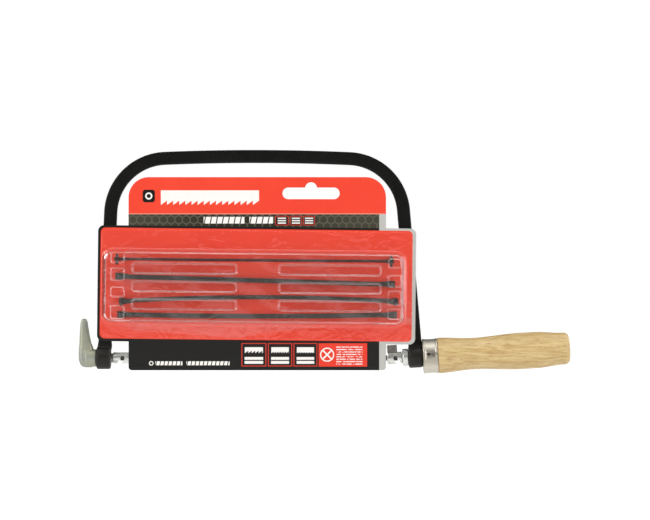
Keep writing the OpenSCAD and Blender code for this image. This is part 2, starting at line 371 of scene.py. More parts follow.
def cast_zinc():
    """Dull passivated zinc casting: grey green, blotchy, with a sandy skin and small pits."""
    f = Finish("cast_zinc", Metallic=0.62)
    cloud = f.noise(4.5, detail=5, rough=0.6)
    yellow = f.noise(7, f.stretched(move=(0.03, 0, 0.01)), detail=3).between(0.42, 0.7)
    sand = f.noise(0.35, detail=3, rough=0.7)
    pit = f.noise(0.8, detail=2).between(0.70, 0.78)
    colour = f.mix(cloud, tint(142, 145, 134), tint(168, 171, 161))
    colour = f.mix(yellow * 0.5, colour, tint(166, 163, 132))
    colour = f.mix(pit * 0.7, colour, tint(104, 102, 92))
    f.drive(Base_Color=colour, Roughness=0.42 + 0.2 * cloud + 0.15 * pit)
    f.bump(sand * 0.35 + cloud * 0.5 - pit * 0.8, 0.3, 0.12)
    return f.material


def drawn_steel():
    """Bare ferrule steel: hair lines round it, a warm cast, painted shade in the pressed mark and its
    groove, and a painted dark reflection on the face towards the camera.
    """
    f = Finish("drawn_steel", Metallic=0.9)
    hair = f.noise(0.22, f.stretched((1, 0.03, 0.03), (0, REAR_TILT, 0)), detail=2)
    cloud = f.noise(5, detail=4)
    x, y, z = f.axes()
    # painted shade: a near-black patch over the pressed hollow, and a fainter one along its groove to
    # the ferrule's end
    dent_x = (REAR_AXIS.start[0] + DENT_PLACE * REAR_AXIS.along[0]) / MM
    dent_z = (REAR_AXIS.start[2] + DENT_PLACE * REAR_AXIS.along[2]) / MM + DENT_RISE / MM
    across = (x - dent_x) / 1.9
    upward = (z - dent_z) / 1.25
    dent_shade = (squared(across) + squared(upward)).math("SQRT").between(1.25, 0.35)
    groove_shade = f.rectangle(x, z, (dent_x, dent_x + 5.5, dent_z - 0.8, dent_z + 0.9), 0.6, 1.2) * 0.55
    colour = f.mix(cloud, tint(200, 194, 180), tint(224, 218, 205))
    # painted reflection: the face towards the camera is darkened, mottled by the cloud, standing in for
    # the dark room that it mirrors there
    dark_front_reflection = y.between(-8.2, -10.4) * (0.35 + cloud * 0.3)
    colour = f.mix(dark_front_reflection, colour, tint(128, 118, 102))
    colour = f.mix(hair * 0.35, colour, tint(152, 144, 130))
    colour = f.mix(dent_shade.most(groove_shade) * 0.92, colour, tint(44, 38, 34))
    f.drive(Base_Color=colour, Roughness=0.3 + 0.12 * hair + 0.08 * cloud)
    f.bump(hair, 0.16, 0.05)
    return f.material


def varnished_wood():
    """Pale beech under clear varnish: growth bands and long fibres that climb a little towards
    the butt, short dark flecks, and a slightly uneven gloss."""
    turn = (0, REAR_TILT + 0.09, 0)
    f = Finish("varnished_wood", Coat_Weight=0.15, Coat_Roughness=0.25, Specular_IOR_Level=0.35)
    drift = f.noise(22, f.stretched((0.4, 1, 1), turn), detail=3)
    band_place = f.add("ShaderNodeVectorMath", {"operation": "ADD"}, {
        0: f.stretched((0.07, 1, 1), turn, (0.004, 0.011, 0.0)),
        1: f.add("ShaderNodeCombineXYZ", {}, {"Z": drift * 0.009}),
    })
    bands = f.noise(1.5, band_place, detail=6, rough=0.62, bend=0.3)
    fibre = f.noise(0.45, f.stretched((0.045, 1, 1), turn), detail=5, rough=0.75)
    fleck = f.noise(0.42, f.stretched((0.08, 1, 1), turn), detail=3).between(0.57, 0.68)
    cloud = f.noise(16, detail=3)
    colour = f.mix(bands.between(0.34, 0.66), tint(217, 194, 142), tint(188, 157, 102))
    colour = f.mix((fibre - 0.36) * 1.5, colour, tint(168, 134, 82))
    colour = f.mix(fleck * 0.6, colour, tint(142, 106, 62))
    colour = f.mix(cloud.between(0.5, 0.8) * 0.5, colour, tint(208, 180, 122))
    f.drive(Base_Color=colour, Roughness=0.38 + 0.14 * fibre + 0.08 * cloud)
    f.bump(fibre * 0.5 - fleck * 0.35 + bands * 0.2, 0.2, 0.1)
    return f.material


def blued_steel():
    """Spring steel strip, dark with a brown cast, ground along its length."""
    f = Finish("blued_steel", Metallic=0.5, Specular_IOR_Level=0.3)
    streak = f.noise(0.5, f.stretched((0.03, 1, 1)), detail=3)
    cloud = f.noise(11, detail=4)
    colour = f.mix(cloud, tint(44, 42, 38), tint(66, 63, 58))
    colour = f.mix(streak * 0.35, colour, tint(98, 94, 86))
    f.drive(Base_Color=colour, Roughness=0.3 + 0.25 * streak)
    f.bump(streak, 0.15, 0.03)
    return f.material


def pin_steel():
    """Cut wire pins: dull grey, mottled, and slightly rough."""
    f = Finish("pin_steel", Metallic=0.9)
    cloud = f.noise(0.9, detail=4, rough=0.6)
    colour = f.mix(cloud, tint(58, 56, 54), tint(104, 101, 97))
    f.drive(Base_Color=colour, Roughness=0.35 + 0.25 * cloud)
    f.bump(cloud, 0.25, 0.05)
    return f.material


def tab_steel():
    """Dark oxide on sheared steel plate, worn grey on the face."""
    f = Finish("tab_steel", Metallic=0.55)
    cloud = f.noise(1.8, detail=5, rough=0.6)
    lines = f.noise(0.3, f.stretched((0.1, 1, 1)), detail=2)
    colour = f.mix(cloud, tint(106, 101, 97), tint(152, 147, 142))
    f.drive(Base_Color=colour, Roughness=0.42 + 0.2 * lines)
    f.bump(lines * 0.4 + cloud * 0.4, 0.2, 0.06)
    return f.material


def turned_brass():
    """Turned brass insert, lightly tarnished."""
    f = Finish("turned_brass", Metallic=1.0)
    cloud = f.noise(2.5, detail=4)
    rings = f.noise(0.2, f.stretched((1, 0.02, 0.02)), detail=1)
    f.drive(Base_Color=f.mix(cloud, tint(150, 112, 54), tint(205, 165, 92)),
            Roughness=0.25 + 0.25 * rings)
    f.bump(rings, 0.2, 0.05)
    return f.material


def pad_foam():
    """White closed-cell foam tape."""
    f = Finish("pad_foam", Roughness=0.85)
    cells = f.add("ShaderNodeTexVoronoi", {}, {"Vector": f.place, "Scale": 1 / (0.35 * MM)})
    f.drive(Base_Color=f.mix(cells, tint(214, 211, 201), tint(238, 236, 228)))
    f.bump(cells, 0.5, 0.12)
    return f.material


# --- The printed card --------------------------------------------------------------------

# Print areas in millimetres: (left, right, bottom, top). The boxes of the band and the foot are
# (left, right), those of the foot with a tooth pitch, and the rings (x, z, radius).
STRIP_X = 72.7
BAND_TOP = 87.1
PANEL = (-97.2, 94.7, 9.4, 79.4)
PANEL_RED = (-95.6, 92.6, 11.1, 78.0)
PANEL_MIDDLE = ((PANEL[0] + PANEL[1]) / 2, (PANEL[2] + PANEL[3]) / 2)
PANEL_TURN = math.radians(0.65)
BADGE = (-70.0, -62.6, 94.2, 101.8)
BADGE_RING = (-66.3, 98.0, 1.7)
BLADE_MARK = (-59.0, 0.2, 92.6, 101.4)
TITLE_BARS = ((-33.2, -8.6, 81.4, 85.4), (-5.6, 8.6, 81.4, 85.4))
BAND_BOXES = ((10.0, 18.0), (18.9, 26.1), (26.9, 33.9))
FOOT_BOXES = ((-10.4, 4.6, 2.1), (5.6, 20.2, 1.5), (21.0, 35.4, 1.0))
FOOT_BARS = ((-62.4, -46.0, -4.1, -1.7), (-43.6, -17.5, -4.1, -1.7))
FOOT_RING = (-64.8, -2.9, 1.1)
NOTICE = (36.2, 65.4, -4.9, 9.2)
RING = (41.3, 2.3, 3.9)


def hexagon_lines(x, z, across):
    """1 on the edges of hexagons this far across: each point goes to the nearer of two offset
    rectangular lattices, and the distance to a hexagon's edge is the greater of |x| and
    |x| / 2 + |z| root 3 / 2, from its middle."""
    tall = across * math.sqrt(3)

    def cell(shift):
        a = (x + shift * across).math("FLOORED_MODULO", across) - across / 2
        b = (z + shift * tall).math("FLOORED_MODULO", tall) - tall / 2
        return a, b, squared(a) + squared(b)

    (a1, b1, d1), (a2, b2, d2) = cell(0), cell(0.5)
    nearer = d1.math("LESS_THAN", d2)
    a = abs(a2 + (a1 - a2) * nearer)
    b = abs(b2 + (b1 - b2) * nearer)
    edge = a.most(a * 0.5 + b * (math.sqrt(3) / 2))
    return edge.between(across * 0.40, across * 0.46)


def ring(x, z, centre_x, centre_z, radius, width):
    """1 where the distance from a centre is within half a width of the radius."""
    distance = (squared(x - centre_x) + squared(z - centre_z)).math("SQRT")
    return (0.5 - (abs(distance - radius) - width / 2) / 0.12).held()


def toothed_bar(f, x, z, box, pitch, depth):
    """A bar whose lower edge is a row of saw teeth."""
    left, right, bottom, top = box
    tooth = ((x - left) / pitch).math("FRACT") * depth
    edge = (z - bottom - tooth) / 0.12
    return f.rectangle(x, z, (left, right, bottom - 1, top), 0.0) * (edge + 0.5).held()


def blocks(f, x, z, box, pitch, space):
    """A bar cut into a row of leaning blocks."""
    left, bottom = box[0], box[2]
    lean = x - left - (z - bottom) * 0.2
    solid = ((lean.math("FLOORED_MODULO", pitch) - space) / 0.15 + 0.5).held()
    return f.rectangle(x, z, box, 0.3) * solid


def stacked_bars(f, x, z, span, bottom, top, pitch, thick):
    """Level bars one above another, like lines of small print."""
    row = (z - bottom).math("FLOORED_MODULO", pitch)
    bars = ((thick - row) / 0.15 + 0.5).held()
    return f.rectangle(x, z, (*span, bottom - 0.05, top)) * bars


def printed_card():
    """Gloss print on white board: red head and middle, a dark hexagon band, a black foot and a
    pale strip by the handle. Marks and wording are plain bars, boxes and tool signs."""
    f = Finish("printed_card", Coat_Roughness=0.15, Specular_IOR_Level=0.3)
    x, y, z = f.axes()
    red, deep = tint(235, 76, 52), tint(224, 58, 40)
    black, white, pale = tint(19, 18, 15), tint(236, 232, 226), tint(180, 179, 174)

    cloud = f.noise(40, detail=2)
    print_red = f.mix(cloud, red, deep)
    mesh = hexagon_lines(x, z, 4.6)
    band = f.mix(mesh, tint(38, 37, 27), tint(88, 84, 69))
    band = f.mix(((x + 8) / 60).math("ABSOLUTE").between(0.2, 1.1) * 0.35, band, tint(88, 86, 72))

    below = z.between(BAND_TOP + 0.1, BAND_TOP - 0.1)
    dark = f.mix(z.between(60, 60.2), black, band)
    dark = f.mix(x.between(STRIP_X - 0.1, STRIP_X + 0.1), dark, pale)
    colour = f.mix(below, print_red, dark)
    line = f.rectangle(x, z, (-90, STRIP_X + 3.3, BAND_TOP - 0.15, BAND_TOP + 0.35))
    colour = f.mix(line * 0.7, colour, tint(232, 170, 150))
    c, s = math.cos(PANEL_TURN), math.sin(PANEL_TURN)
    across, upward = x - PANEL_MIDDLE[0], z - PANEL_MIDDLE[1]
    panel_x = PANEL_MIDDLE[0] + across * c - upward * s
    panel_z = PANEL_MIDDLE[1] + across * s + upward * c
    border = f.mix(x.between(STRIP_X - 0.1, STRIP_X + 0.1), black, pale)
    colour = f.mix(f.rectangle(panel_x, panel_z, PANEL, 3.6, 0.2), colour, border)
    colour = f.mix(f.rectangle(panel_x, panel_z, PANEL_RED, 3.0, 0.25), colour, print_red)

    colour = f.mix(f.rectangle(x, z, BADGE, 1.6), colour, black)
    colour = f.mix(ring(x, z, *BADGE_RING, 0.9), colour, white)
    colour = f.mix(toothed_bar(f, x, z, BLADE_MARK, 3.7, 2.6), colour, white)
    for bar in TITLE_BARS:
        colour = f.mix(blocks(f, x, z, bar, 3.6, 0.7), colour, white)
    for left, right in BAND_BOXES:
        colour = f.mix(f.rectangle(x, z, (left, right, 80.3, 86.0), 0.3), colour, tint(196, 52, 36))
        colour = f.mix(f.rectangle(x, z, (left + 0.4, right - 0.4, 80.7, 85.6)), colour, black)
        middle = (left + right) / 2
        colour = f.mix(stacked_bars(f, x, z, (middle - 2.5, middle + 2.5), 81.3, 85.2, 1.45, 0.75),
                       colour, white)
    for left, right, pitch in FOOT_BOXES:
        colour = f.mix(f.rectangle(x, z, (left, right, -4.8, 9.3)), colour, tint(206, 54, 38))
        colour = f.mix(f.rectangle(x, z, (left + 0.5, right - 0.5, -4.3, 8.8)), colour, black)
        strip = (left + 2.0, right - 2.0, 3.2, 6.8)
        colour = f.mix(toothed_bar(f, x, z, strip, pitch, pitch * 0.7), colour, white)
        colour = f.mix(stacked_bars(f, x, z, (left + 1.9, right - 1.9), -3.2, 1.4, 2.4, 1.7),
                       colour, white)
    colour = f.mix(ring(x, z, *FOOT_RING, 0.55), colour, white)
    for bar in FOOT_BARS:
        colour = f.mix(blocks(f, x, z, bar, 2.45, 0.6), colour, white)
    colour = f.mix(f.rectangle(x, z, NOTICE), colour, tint(222, 58, 40))
    colour = f.mix(ring(x, z, *RING, 0.7), colour, white)
    slash = abs(x - RING[0]) - abs(z - RING[1])
    inside = (squared(x - RING[0]) + squared(z - RING[1])).math("SQRT").between(3.6, 3.4)
    colour = f.mix(abs(slash).between(0.75, 0.5) * inside, colour, white)
    words = f.noise(1.3, detail=1).between(0.40, 0.46)
    lines = stacked_bars(f, x, z, (46.8, 62.6), -3.7, 8.0, 1.46, 0.66)
    colour = f.mix(lines * words * 0.85, colour, white)

    board = f.noise(0.5, detail=4, rough=0.7)
    grey_board = f.mix(board, tint(196, 192, 182), tint(224, 221, 212))
    front = y.between(CARD_FRONT / MM + 0.06, CARD_FRONT / MM + 0.02)
    colour = f.mix(front, grey_board, colour)
    f.drive(Base_Color=colour, Roughness=0.62 - 0.34 * front + 0.06 * cloud,
            Coat_Weight=front * 0.2)
    waves = f.noise(55, detail=1)
    f.bump(waves * 1.0 + board * 0.02, 0.35, 0.5)
    return f.material


SAG_X = -12.4


def clear_sheet():
    """Thin clear film. It mirrors more as it turns away; it is clear where it lies on the card and
    slightly hazy where it stands off, most of all in the slack below the tray. Where it stands off, and
    more over the bars' floors, what it lets through is darkened as painted shade of the tray."""
    f = Finish("clear_sheet", Base_Color=(0.96, 0.97, 0.98, 1), Roughness=0.07, Metallic=1.0)
    ripple = f.noise(14, detail=3, rough=0.5, bend=0.6)
    crinkle = f.noise(2.5, detail=2)
    f.bump(ripple + crinkle * 0.12, 0.35, 1.0)
    x, y, z = f.axes()
    off = CARD_FRONT / MM - y
    stands = off.between(0.8, 4.6)
    bar = off.between(6.15, 5.6) * off.between(3.4, 5.0)
    # the slack's upper edge, straight to the left of its middle and curling up to the right
    curl = 1 - ((x - SAG_X).most(0) / -40).math("EXPONENT")
    sag_edge = 12.0 + 0.075 * (SAG_X - x).most(0) + 9 * curl
    slack = (z - sag_edge).between(-0.2, 0.8) * (1 - stands) * z.between(26, 24) * x.between(-84, -74)
    streak = f.noise(24, f.stretched((0.25, 1, 1)), detail=4, rough=0.6)
    haze = (0.003 + 0.008 * stands + 0.034 * slack) * (0.3 + 1.4 * streak)
    # painted shade: the film lets less through where it stands off the card, and less again over the
    # bars' floors, which darkens the card under the tray
    clear = f.mix(stands, (0.999, 0.998, 0.997, 1), (0.962, 0.957, 0.952, 1))
    clear = f.mix(bar, clear, (0.925, 0.91, 0.905, 1))
    through = f.add("ShaderNodeBsdfTransparent", {}, {"Color": clear})
    milk = f.add("ShaderNodeBsdfDiffuse", {}, {"Color": (0.9, 0.9, 0.9, 1)})
    body = f.add("ShaderNodeMixShader", {}, {0: haze, 1: through, 2: milk})
    tilt = f.add("ShaderNodeLayerWeight", {}, {"Blend": 0.5}, output="Facing")
    seen = f.add("ShaderNodeLightPath", {}, {}, output="Is Camera Ray")
    # the bars' walls lie between their floors and the tray's top, the pockets' walls above that
    top = FILM + TRAY_DEPTH
    floor, roof = top - BAR_SINK, top + POCKET_RISE
    bar_wall = off.between(floor + 0.1, floor + 0.3).least(off.between(top - 0.1, top - 0.3))
    pocket_wall = off.between(top + 0.2, top + 0.3).least(off.between(roof - 0.15, roof - 0.25))
    tray_wall = off.between(0.8, 1.6).least(off.between(floor - 0.25, floor - 0.55))
    walls = bar_wall.most(pocket_wall).most(tray_wall * 0.3)
    mirror = 0.03 + tilt.math("POWER", 1.4) * (0.08 + seen * (0.08 + 1.3 * walls))
    sheet = f.add("ShaderNodeMixShader", {}, {0: mirror.held(), 1: body,
                                              2: Field(f, f.shader.outputs[0])})
    f.tree.links.new(sheet.socket, f.tree.nodes["Material Output"].inputs["Surface"])
    return f.material


# --- Bow and bushes ----------------------------------------------------------------------

BAR_WIDTH = 7.9 * MM
BAR_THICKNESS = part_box("bow_frame")[1][1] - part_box("bow_frame")[0][1]
BOW_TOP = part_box("bow_frame")[1][2] - BAR_WIDTH / 2
CROWN_X = -3 * MM
CROWN_RADIUS = 1300 * MM
CORNER_RADIUS = 34.2 * MM
CORNER_TURNS = {-1: math.radians(2.39), 1: math.radians(2.56)}
SPLAY = {-1: math.radians(2.5), 1: math.radians(5)}
ARM_FOOT = 3 * MM


def bow_path():
    """The middle of the bar from the front bush over the crown to the rear bush: a long arc,
    a corner arc on each side that takes over where it ends, and two straight arms. Angles are
    from the vertical, and an arc's point is its centre + radius (sin, cos)."""
    reach = CROWN_RADIUS - CORNER_RADIUS
    parts = []
    for side in (-1, 1):
        turn, last = CORNER_TURNS[side], math.pi / 2 - SPLAY[side]
        centre = np.array((CROWN_X + side * reach * math.sin(turn),
                           BOW_TOP - CROWN_RADIUS + reach * math.cos(turn)))
        angle = side * np.linspace(turn, last, 36)
        corner = centre + CORNER_RADIUS * np.stack([np.sin(angle), np.cos(angle)], -1)
        down = np.array((side * math.sin(SPLAY[side]), -math.cos(SPLAY[side])))
        length = (corner[-1, 1] - ARM_FOOT) / math.cos(SPLAY[side])
        steps = length * ease(np.linspace(0.02, 1, 40))[:, None]
        parts.append(np.concatenate([corner, corner[-1] + down * steps]))
    angle = np.linspace(-CORNER_TURNS[-1], CORNER_TURNS[1], 40)[1:-1]
    crown = np.array((CROWN_X, BOW_TOP - CROWN_RADIUS)) \
        + CROWN_RADIUS * np.stack([np.sin(angle), np.cos(angle)], -1)
    return np.concatenate([parts[0][::-1], crown, parts[1]])


def make_bow(paint):
    """The bar's rounded section carried along its path, growing a little into a weld where an
    arm meets its bush."""
    path = bow_path()
    along = np.gradient(path, axis=0)
    along /= np.linalg.norm(along, axis=1, keepdims=True)
    across = np.stack([-along[:, 1], along[:, 0]], -1)
    section_n, section_y = superellipse(BAR_WIDTH, BAR_THICKNESS, 9, 48)
    weld = bell((path[:, 1:] - 7.2 * MM) / (1.7 * MM)) * (path[:, 1:] < 60 * MM)
    n = section_n * (1 + 0.10 * weld)
    y = section_y * (1 + 0.55 * weld)
    rows = np.stack([path[:, :1] + across[:, :1] * n, y + 0 * n, path[:, 1:] + across[:, 1:] * n], -1)
    points = capped(rows)
    piece("bow", points, grid_faces(len(points), 48, wrap_columns=True), paint, "frame",
          ["bow_frame"], "bow_paint", crease=60)


# Along its axis, from the rear pin at the rear: start, end, radius and bore
FRONT_BUSH = (*(corner[0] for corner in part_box("front_bush")), 6.8 * MM, 2.81 * MM)
REAR_BUSH = (8.1 * MM, 16.7 * MM, 6.6 * MM, 2.96 * MM)
COLLAR = (4.4 * MM, 8.0 * MM, 5.2 * MM, 2.97 * MM)


def bush_profile(low, high, radius, bore):
    """A bored round in section, with large outer and small inner rounds."""
    corner = 1.3 * MM
    return rounded([(low, bore, 0.3 * MM), (low, radius, corner), (high, radius, corner),
                    (high, bore, 0.3 * MM)], closed=True)


def make_bushes(paint):
    """The two bushes that the holders turn in, one on each arm."""
    turned("front_bush_round", BLADE_AXIS, bush_profile(*FRONT_BUSH), paint, "frame", closed=True,
           replaces=["front_bush"], slot="bow_paint")
    turned("rear_bush_round", REAR_AXIS, bush_profile(*REAR_BUSH), paint, "frame", closed=True,
           replaces=["rear_bush"], slot="bow_paint")


# --- Holders, lever and collar -----------------------------------------------------------

def make_lever(zinc):
    """A cast finger on a round hub. The finger is a stack of superellipses between a left and
    a right edge; it is melted into the hub by a fine remesh and a few passes of smoothing."""
    # height, left edge, right edge and half thickness up the finger, in millimetres
    stations = np.array([
        (-5.75, -105.4, -101.2, 0.9), (-5.2, -107.2, -100.9, 2.3), (-3.6, -108.6, -100.9, 2.95),
        (-1.0, -109.35, -100.6, 3.15), (3.0, -109.4, -100.6, 3.2), (6.5, -109.3, -100.6, 3.15),
        (9.0, -109.0, -101.7, 3.0), (14.0, -108.8, -102.7, 2.8), (19.0, -108.5, -103.5, 2.5),
        (22.0, -108.15, -103.95, 2.2), (23.3, -107.6, -104.5, 1.7), (23.85, -106.8, -105.2, 0.7),
    ])
    z = np.concatenate([np.linspace(-5.75, -3.6, 8), np.linspace(-3.2, 22, 40),
                        np.linspace(22.2, 23.85, 8)])
    left, right, thick = (np.interp(z, stations[:, 0], stations[:, k]) for k in (1, 2, 3))
    unit_x, unit_y = superellipse(2, 2, 3.2, 40)
    x = (left + right)[:, None] / 2 + (right - left)[:, None] / 2 * unit_x
    y = thick[:, None] * unit_y
    finger = capped(np.stack([x, y, z[:, None] + 0 * x], -1) * MM)
    finger_faces = grid_faces(len(finger), 40, wrap_columns=True)
    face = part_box("front_lever")[1][0] / MM
    hub_profile = rounded([(-105.5, 0, 0), (-105.5, 5.6, 1.2), (face - 2.5, 5.45, 0.8),
                           (face, 5.2, 0.4), (face, 0, 0)])
    angle = np.linspace(0, 2 * np.pi, 64, endpoint=False)[None, :]
    hub = BLADE_AXIS.place(hub_profile[:, :1] + 0 * angle, hub_profile[:, 1:] * np.cos(angle),
                           hub_profile[:, 1:] * np.sin(angle)) * MM
    hub_faces = grid_faces(len(hub_profile), 64, wrap_columns=True) + finger[..., 0].size
    points = np.concatenate([finger.reshape(-1, 3), hub.reshape(-1, 3)])
    lever = piece("thumb_lever", points, np.concatenate([finger_faces, hub_faces]), zinc,
                  "front_holder", ["front_lever"], "zinc_cast", crease=180)
    modify(lever, "REMESH", mode="VOXEL", voxel_size=0.24 * MM, use_smooth_shade=True)
    modify(lever, "SMOOTH", factor=0.5, iterations=12)
    apply_modifiers(lever)


def paint_node(node, material):
    """A CAD node keeps its shape and takes a material."""
    shown = frame["nodes"][node]
    shown.data.materials.clear()
    shown.data.materials.append(material)
    return shown


def ease_edges(node, width, material):
    """A CAD node keeps its shape; its sharp edges get a small round and it takes a material."""
    shown = paint_node(node, material)
    modify(shown, "WELD", merge_threshold=0.002 * MM)
    modify(shown, "BEVEL", width=width, segments=2, limit_method="ANGLE",
           angle_limit=math.radians(38), harden_normals=False)


def make_collar(zinc):
    """The ring behind the rear holder, with eased rims."""
    low, high, radius, bore = COLLAR
    profile = rounded([(low, bore, 0.2 * MM), (low, radius, 0.9 * MM),
                       (high, radius, 0.7 * MM), (high, bore, 0.2 * MM)], closed=True)
    turned("collar_ring", REAR_AXIS, profile, zinc, "collar", closed=True,
           replaces=["rear_collar"], slot="bright_steel")


# --- Handle ------------------------------------------------------------------------------

FERRULE_START = 16.8 * MM
FERRULE_END = 25.8 * MM
FERRULE_RADIUS = 10.6 * MM
WOOD_START = 26 * MM
WOOD_END = 105.8 * MM
DENT_PLACE = 20.2 * MM
DENT_RISE = 1.5 * MM


def pressed(s, angle, r):
    """The ferrule's radius, less two pressed marks on opposite sides: a round hollow at the
    mark's place that runs out as a shallow groove to the ferrule's end."""
    r = r + 0 * angle
    for middle in (math.asin(DENT_RISE / FERRULE_RADIUS), math.pi - 0.1):
        away = (np.mod(angle - middle + math.pi, 2 * np.pi) - math.pi) * FERRULE_RADIUS
        hollow = 0.75 * bell((s - DENT_PLACE) / (1.5 * MM)) * bell(away / (1.1 * MM))
        groove = 0.28 * bell(away / (0.9 * MM)) * ease((s - DENT_PLACE) / MM)
        r = r - np.maximum(hollow, groove) * MM * (r > 10 * MM)
    return r


def make_ferrule(steel):
    """A drawn cup with a bead at each end and a waist that dips by a third of a millimetre."""
    start, end, radius, wall = FERRULE_START, FERRULE_END, FERRULE_RADIUS, 0.7 * MM
    s = np.linspace(start + 0.9 * MM, end - 0.7 * MM, 60)
    t = (s - s[0]) / (s[-1] - s[0])
    waist = radius - 0.34 * MM * ease(t / 0.16) * ease((1 - t) / 0.16)
    outer = np.stack([s, waist], -1)
    lead = rounded([(start, 3.3 * MM, 0), (start, radius, 0.9 * MM), (s[0], radius, 0)])
    bead = rounded([(s[-1], radius, 0), (end, radius, 0.5 * MM), (end, radius - wall, 0.2 * MM),
                    (start + wall, radius - wall, 0.5 * MM), (start + wall, 3.3 * MM, 0)])
    profile = np.concatenate([lead[:-1], outer, bead[1:]])
    turned("ferrule_cup", REAR_AXIS, profile, steel, "handle", closed=True, around=192,
           swell=pressed, replaces=["ferrule"], slot="ferrule_steel")


def make_handle(wood):
    """The turned grip: radii eased from a shoulder by the ferrule through a waist to a full
    palm and a rounded butt, with a shallow dish in the end."""
    stations = np.array([(26, 10.85), (47, 9.65), (77, 11.2), (85, 11.2), (102.6, 9.85)]) * MM
    s = np.linspace(stations[0, 0] + 0.5 * MM, stations[-1, 0], 120)
    k = np.clip(np.searchsorted(stations[:, 0], s, side="right") - 1, 0, len(stations) - 2)
    first, second = stations[k], stations[k + 1]
    t = (s - first[:, 0]) / (second[:, 0] - first[:, 0])
    r = first[:, 1] + (second[:, 1] - first[:, 1]) * (1 - np.cos(np.pi * t)) / 2
    grip = np.stack([s, r], -1)
    shoulder = rounded([(WOOD_START, 9.7 * MM, 0), (WOOD_START, r[0], 0.45 * MM), (s[0], r[0], 0)])
    tenon = np.array([(FERRULE_START + 0.9 * MM, 3.2 * MM), (FERRULE_START + 0.9 * MM, 9.7 * MM)])
    angle = np.linspace(0, np.pi / 2, 14)[1:]
    butt_round = 3.2 * MM
    butt = np.stack([s[-1] + butt_round * np.sin(angle),
                     r[-1] - butt_round + butt_round * np.cos(angle)], -1)
    dish = np.stack([WOOD_END - 0.25 * MM * ease(np.linspace(0, 1, 12)),
                     np.linspace(butt[-1, 1], 0, 12)], -1)[1:]
    bore = np.array([(45 * MM, 0), (45 * MM, 3.2 * MM), (41 * MM, 3.2 * MM), (41 * MM, 4.6 * MM),
                     (FERRULE_START + 0.9 * MM, 4.6 * MM)])
    profile = np.concatenate([bore, tenon[1:], shoulder[:-1], grip, butt, dish])

    def hand_sanded(s, angle, r):
        """Flattens the round by up to a twelfth of a millimetre in two slow waves."""
        return r - 0.08 * MM * (1 + np.cos(2 * angle + s / (30 * MM))) * (r > 9 * MM) * (s > WOOD_START)

    turned("turned_grip", REAR_AXIS, profile, wood, "handle", around=128, swell=hand_sanded,
           replaces=["wood_handle"], slot="handle_wood")


# --- Blades ------------------------------------------------------------------------------

PIN_RADIUS = 0.9 * MM
PIN_LENGTH = 6.6 * MM
BLADE_TAIL = 1.6 * MM
BLADE_DEPTH = 3.2 * MM
BLADE_THICKNESS = 0.5 * MM
# Spare blades by number: heights of the left end, the middle and the right end, roll in degrees,
# shift along the blade and tooth pitch, in millimetres. A pitch below 0 has its teeth upwards.
SPARES = {
    1: ((60.7, 59.0, 57.8), 62, -2.6, 0.80),
    2: ((49.7, 47.3, 44.8), 4, -2.0, -1.06),
    3: ((34.5, 37.4, 34.3), 34, 0.1, 1.06),
    4: ((26.6, 25.4, 26.4), 6, -0.8, 0.80),
}
SPARE_Y = CARD_FRONT - PIN_LENGTH / 2 - 0.4 * MM
FITTED_PITCH = 1.41
# plain length without teeth at the two ends together, how deep a gullet is and how far a tooth
# is bent to the side
PLAIN_ENDS = 12 * MM
GULLET = 0.62
TOOTH_SET = 0.11 * MM


class BladeLine:
    """The middle line of a blade: a parabola in height through three given heights, rolled
    about the chord between its ends."""

    def __init__(self, heights=(0, 0, 0), roll=0, shift=0, y=0.0):
        self.heights = np.array(heights) * MM
        self.roll, self.shift, self.y = math.radians(roll), shift * MM, y
        self.chord = (self.heights[0] + self.heights[2]) / 2

    def place(self, x, across, up):
        """x along the blade from its middle, across it, and up from its middle line."""
        t = x / HALF_SPAN
        left, middle, right = self.heights
        rise = middle + (right - left) / 2 * t + ((left + right) / 2 - middle) * t * t
        b = rise - self.chord + up
        c, s = math.cos(self.roll), math.sin(self.roll)
        x, across, b = np.broadcast_arrays(x + self.shift, across, b)
        return np.stack([x, self.y + across * c - b * s, self.chord + across * s + b * c], -1)


def make_blade(name, line, pitch, steel, body, node, flare=0.0):
    """A strip whose lower edge is a row of raked teeth, bent to each side in turn. Each tooth
    has a tip and a gullet; a ring of six points goes round the strip at each. The ends may
    flare where the pins go through."""
    side = -1 if pitch > 0 else 1
    pitch = abs(pitch) * MM
    count = int((2 * HALF_SPAN - PLAIN_ENDS) / pitch)
    tips = (np.arange(count) - count / 2) * pitch
    end = HALF_SPAN + BLADE_TAIL
    x = np.concatenate([[-end, 4 * MM - end, 5 * MM - end, tips[0] - pitch],
                        np.stack([tips, tips + 0.15 * pitch], -1).ravel(),
                        [tips[-1] + pitch, end - 5 * MM, end - 4 * MM, end]])
    tip = np.concatenate([[1] * 4, np.tile([1, 0], count), [1] * 4])
    bend = np.concatenate([[0] * 4, np.tile([1, 0, -1, 0], count)[:2 * count], [0] * 4])
    half = BLADE_DEPTH / 2 + flare * (np.abs(x) > end - 4.5 * MM)
    thick = BLADE_THICKNESS / 2
    edge = half - (1 - tip) * GULLET * pitch
    root = half - 0.75 * pitch
    lean = bend * TOOTH_SET
    ring = [(thick, -side * half), (thick, side * root), (0.7 * thick + lean, side * edge),
            (-0.7 * thick + lean, side * edge), (-thick, side * root), (-thick, -side * half)]
    rows = np.stack([line.place(x, across + 0 * x, up + 0 * x) for across, up in ring], 1)
    points = capped(rows)
    piece(name, points, grid_faces(len(points), 6, wrap_columns=True), steel, body, [node],
          "blade_steel", crease=25)


